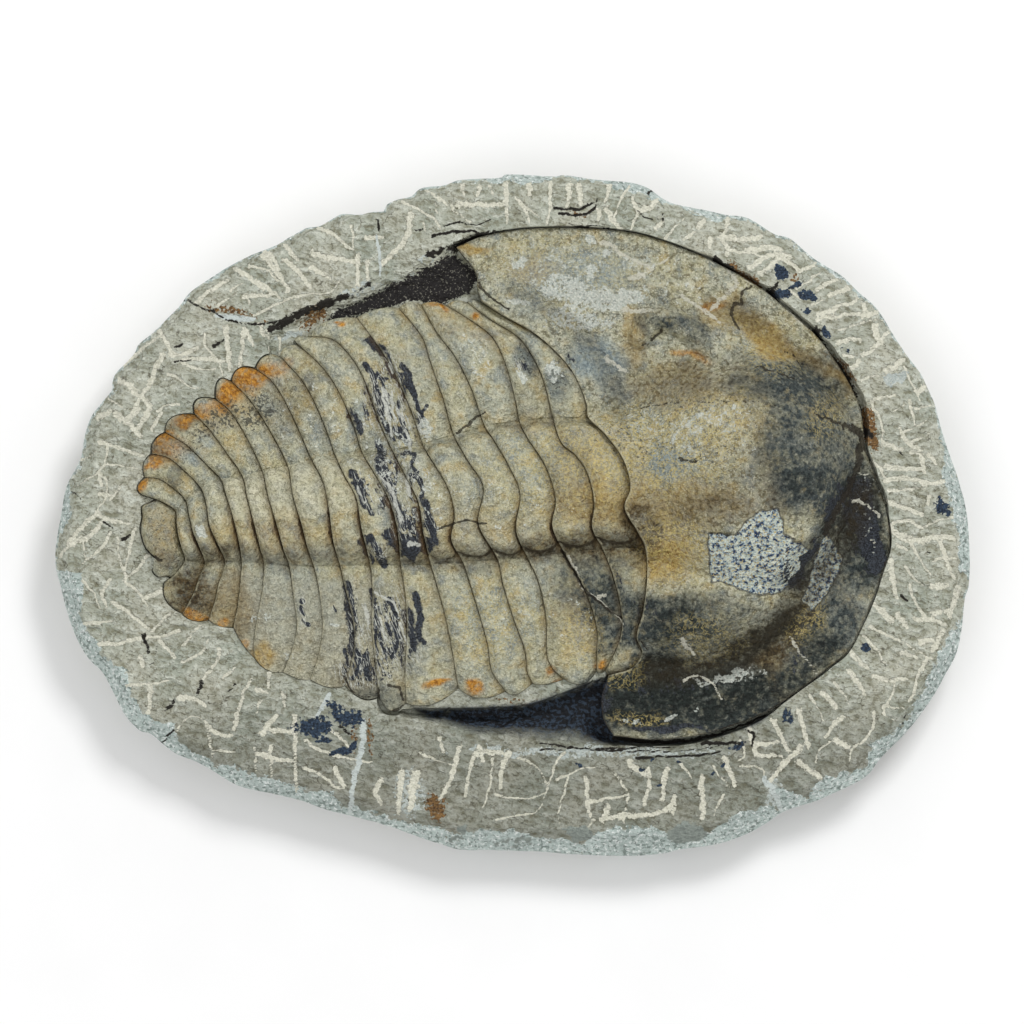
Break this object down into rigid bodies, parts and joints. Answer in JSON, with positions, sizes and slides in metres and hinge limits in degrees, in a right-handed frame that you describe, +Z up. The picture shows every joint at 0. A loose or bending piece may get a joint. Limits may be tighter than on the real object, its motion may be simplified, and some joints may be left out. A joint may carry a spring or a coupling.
{
  "type": "trilobite fossil on matrix slab",
  "caption": "Large fossil trilobite, back upwards, with a domed head shield, overlapping thoracic plates and a small tail plate, on a flat-based oval slab of its chiselled rock matrix.",
  "frame": {"origin": "centre of the slab's bounding box in plan, on the flat underside that it rests on", "axes": "+X towards the head along the slab's length, +Y towards the side of the upper pleurae in the picture, +Z up, out of the fossil's back"},
  "size_m": [0.3305, 0.2464, 0.0549],
  "materials": {
    "matrix": "matt, chiselled grey-green shale with pale strokes and pale blue-grey filler along the edge",
    "head_shield": "satin, ochre to slate-blue mineralised shell",
    "thorax": "satin, tan mineralised shell with iron-orange tips and dark manganese stains",
    "tail_plate": "satin, tan-brown mineralised shell"
  },
  "bodies": {
    "root": {"matrix_slab": "matrix", "cephalon": "head_shield", "thoracic_segment_01": "thorax", "thoracic_segment_02": "thorax", "thoracic_segment_03": "thorax", "thoracic_segment_04": "thorax", "thoracic_segment_05": "thorax", "thoracic_segment_06": "thorax", "thoracic_segment_07": "thorax", "thoracic_segment_08": "thorax", "thoracic_segment_09": "thorax", "thoracic_segment_10": "thorax", "thoracic_segment_11": "thorax", "thoracic_segment_12": "thorax", "thoracic_segment_13": "thorax", "thoracic_segment_14": "thorax", "thoracic_segment_15": "thorax", "thoracic_segment_16": "thorax", "pygidium": "tail_plate"}
  },
  "joints": []
}
